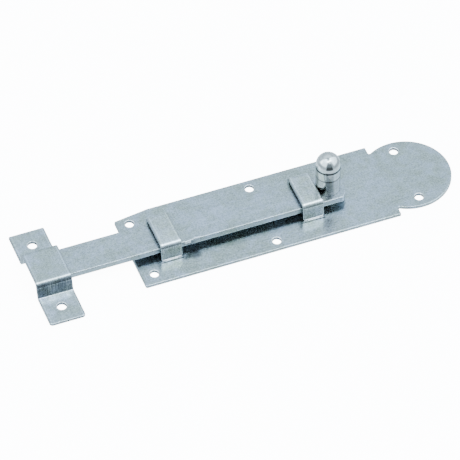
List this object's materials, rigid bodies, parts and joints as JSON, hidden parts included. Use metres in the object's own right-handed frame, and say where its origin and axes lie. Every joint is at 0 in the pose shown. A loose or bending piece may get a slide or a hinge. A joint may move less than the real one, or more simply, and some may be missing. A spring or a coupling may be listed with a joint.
{
  "type": "sliding bolt",
  "caption": "Flat-bar sliding bolt on a stamped back plate with a round end, bent guide straps, a domed turned knob and a separate hat-shaped keeper.",
  "frame": {"origin": "midway between the middle pair of screw holes, on the back face of the plate", "axes": "+X along the bar from the keeper towards the round end of the plate, +Y across the plate, +Z out of the door surface"},
  "size_m": [0.275, 0.0768, 0.0384],
  "materials": {
    "plate_zinc": "satin, bright zinc plated sheet steel",
    "strap_zinc": "satin, bright zinc plated bent steel strip",
    "bar_zinc": "satin, bright zinc plated flat steel bar",
    "knob_steel": "bright turned steel, zinc plated"
  },
  "bodies": {
    "plate": {"back_plate": "plate_zinc", "front_guide": "strap_zinc", "rear_guide": "strap_zinc", "keeper": "strap_zinc"},
    "bolt": {"bolt_bar": "bar_zinc", "knob": "knob_steel"}
  },
  "joints": [
    {"name": "bolt_slide", "type": "slide", "parent": "plate", "child": "bolt", "axis": [1, 0, 0], "range_m": [0, 0.0723]}
  ]
}
